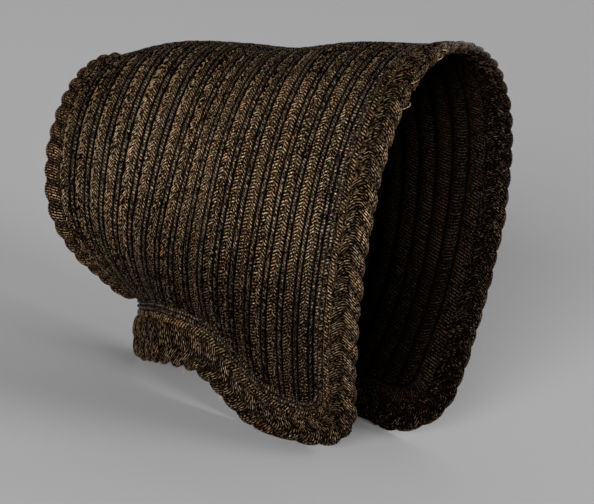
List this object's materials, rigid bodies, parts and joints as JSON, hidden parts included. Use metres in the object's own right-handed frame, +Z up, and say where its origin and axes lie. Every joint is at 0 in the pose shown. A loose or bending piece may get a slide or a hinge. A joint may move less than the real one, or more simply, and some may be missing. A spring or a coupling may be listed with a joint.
{
  "type": "poke bonnet",
  "caption": "Deep-brimmed bonnet of hoop-wise sewn brown plait rows with a closed round tip, a corded edge plait and a scalloped braid round the opening.",
  "frame": {"origin": "centre of the bounding box on the surface that the bonnet rests on", "axes": "+Z up, the face opening looks to -Y, +X is the wearer's left"},
  "size_m": [0.1954, 0.2518, 0.2405],
  "materials": {
    "body_plait": "dull sewn plait",
    "edge_plait": "dull corded plait",
    "scalloped_braid": "rough thick braid",
    "tip_braid": "slightly glossy tan braid"
  },
  "bodies": {
    "root": {"plait_row_01": "body_plait", "plait_row_02": "body_plait", "plait_row_03": "body_plait", "plait_row_04": "body_plait", "plait_row_05": "body_plait", "plait_row_06": "body_plait", "plait_row_07": "body_plait", "plait_row_08": "body_plait", "plait_row_09": "body_plait", "plait_row_10": "body_plait", "plait_row_11": "body_plait", "plait_row_12": "body_plait", "plait_row_13": "body_plait", "plait_row_14": "body_plait", "plait_row_15": "body_plait", "plait_row_16": "body_plait", "plait_row_17": "body_plait", "tip_row_1": "body_plait", "tip_row_2": "body_plait", "tip_row_3": "body_plait", "tip_row_4": "body_plait", "tip_row_5": "body_plait", "tip_row_6": "body_plait", "tip_button": "body_plait", "edge_plait": "edge_plait", "scalloped_braid": "scalloped_braid", "tip_braid": "tip_braid"}
  },
  "joints": []
}
